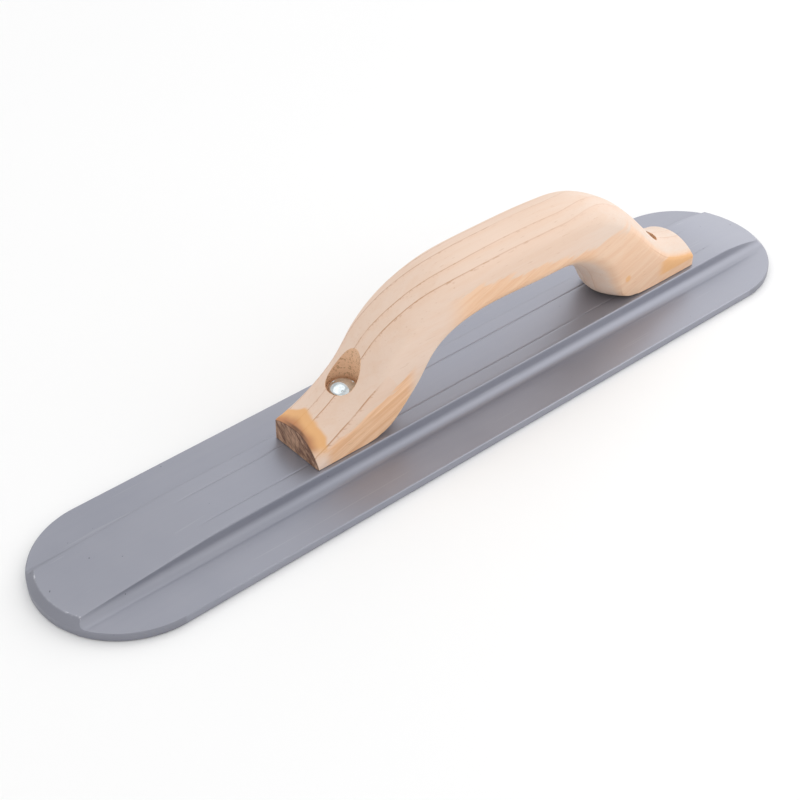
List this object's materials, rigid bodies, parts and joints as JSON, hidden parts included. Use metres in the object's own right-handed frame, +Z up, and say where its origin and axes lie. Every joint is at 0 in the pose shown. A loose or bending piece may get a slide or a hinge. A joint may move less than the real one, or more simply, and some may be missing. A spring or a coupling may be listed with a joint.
{
  "type": "hand float",
  "caption": "Long round-ended hand float for concrete: a flat metal blade with a raised centre spine and a bow-shaped wooden handle screwed on along it.",
  "frame": {"origin": "centre of the blade's flat working face, the bottom of the object", "axes": "+X along the blade towards the end that the handle sits nearer to, +Y across the blade, +Z up"},
  "size_m": [0.4064, 0.0794, 0.0748],
  "materials": {
    "blade": "satin extruded magnesium, drawn along its length",
    "handle": "smooth clear-finished pine",
    "screws": "bright plated steel"
  },
  "bodies": {
    "root": {"blade": "blade", "handle": "handle", "screw_near": "screws", "screw_far": "screws"}
  },
  "joints": []
}
